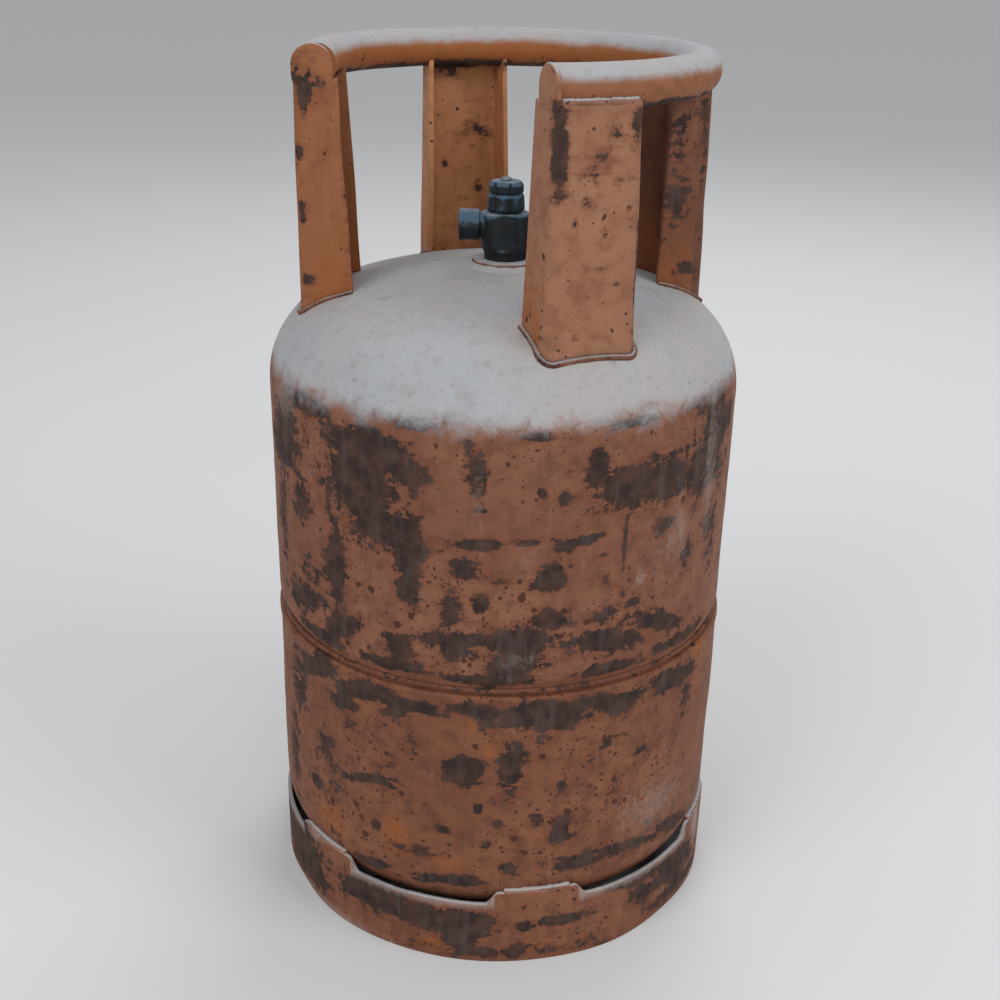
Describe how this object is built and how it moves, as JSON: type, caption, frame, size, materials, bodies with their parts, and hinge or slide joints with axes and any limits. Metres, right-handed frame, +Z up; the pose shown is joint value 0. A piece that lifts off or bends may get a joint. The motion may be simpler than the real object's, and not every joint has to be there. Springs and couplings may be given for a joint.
{
  "type": "gas cylinder",
  "caption": "Rusty steel gas cylinder with a slotted foot ring, tube guard ring on channel posts, hand-wheel valve with a capped side outlet and a relief valve.",
  "frame": {"origin": "centre of the foot ring's base, on the ground", "axes": "+Z up along the tank's axis; +Y to the back, away from the picture's camera; +X to the relief valve's side, so that the capped outlet points to -X"},
  "size_m": [0.3172, 0.3172, 0.5844],
  "materials": {
    "tank_paint": "faded orange-brown paint, rust freckled and dusty",
    "foot_paint": "scuffed orange-brown paint with rust and dust",
    "guard_paint": "worn orange-brown paint with bare grey patches",
    "weld_metal": "painted weld beads, rusty and dusty",
    "bung_steel": "dusty, rusty steel boss",
    "valve_brass": "blackened, dusty valve body",
    "bare_brass": "dull bare brass",
    "knob_plastic": "dark blue-black plastic with dust on top",
    "rubber": "matt black rubber",
    "nylon": "off-white nylon",
    "bare_steel": "dull bare steel"
  },
  "bodies": {
    "cylinder": {"upper_shell": "tank_paint", "lower_shell": "tank_paint", "girth_weld": "weld_metal", "valve_bung": "bung_steel", "foot_ring": "foot_paint", "guard_post_front": "guard_paint", "guard_post_right": "guard_paint", "guard_post_back": "guard_paint", "guard_post_left": "guard_paint", "guard_ring": "guard_paint", "bung_weld": "weld_metal", "foot_ring_weld_1": "weld_metal", "foot_ring_weld_2": "weld_metal", "foot_ring_weld_3": "weld_metal", "foot_ring_weld_4": "weld_metal", "foot_ring_weld_5": "weld_metal", "foot_ring_weld_6": "weld_metal", "post_foot_weld_front": "weld_metal", "post_foot_weld_right": "weld_metal", "post_foot_weld_back": "weld_metal", "post_foot_weld_left": "weld_metal", "guard_ring_weld_front": "weld_metal", "guard_ring_weld_right": "weld_metal", "guard_ring_weld_back": "weld_metal", "guard_ring_weld_left": "weld_metal", "valve_body": "valve_brass", "gland_nut": "bare_brass", "relief_cap": "bare_brass", "relief_spring": "bare_steel"},
    "handwheel": {"handwheel": "knob_plastic", "handwheel_screw": "bare_steel", "valve_spindle": "bare_brass", "spindle_o_ring": "rubber"},
    "valve_plug": {"valve_plug": "bare_brass", "seat_disc": "nylon"},
    "outlet_cap_washer": {"outlet_cap_washer": "rubber"},
    "outlet_cap": {"outlet_cap": "knob_plastic"},
    "relief_disc": {"relief_disc": "rubber"}
  },
  "joints": [
    {"name": "handwheel_turn", "type": "hinge", "parent": "cylinder", "child": "handwheel", "pos_m": [0, 0, 0.48], "axis": [0, 0, 1], "range_deg": [0, 450]},
    {"name": "plug_lift", "type": "slide", "parent": "cylinder", "child": "valve_plug", "axis": [0, 0, 1], "range_m": [0, 0.00188]},
    {"name": "cap_travel", "type": "slide", "parent": "cylinder", "child": "outlet_cap_washer", "axis": [-1, 0, 0], "range_m": [0, 0.0095]},
    {"name": "cap_turn", "type": "hinge", "parent": "outlet_cap_washer", "child": "outlet_cap", "pos_m": [-0.024, 0, 0.47059], "axis": [1, 0, 0], "range_deg": [0, 2520]},
    {"name": "relief_lift", "type": "slide", "parent": "cylinder", "child": "relief_disc", "axis": [1, 0, 0], "range_m": [0, 0.002], "stiffness_N_per_m": 300, "deforming": ["relief_spring"]}
  ],
  "couplings": [
    {"joint": "plug_lift", "follows": "handwheel_turn", "m_per_rad": 0.00023873},
    {"joint": "cap_travel", "follows": "cap_turn", "m_per_rad": 0.00021279}
  ]
}
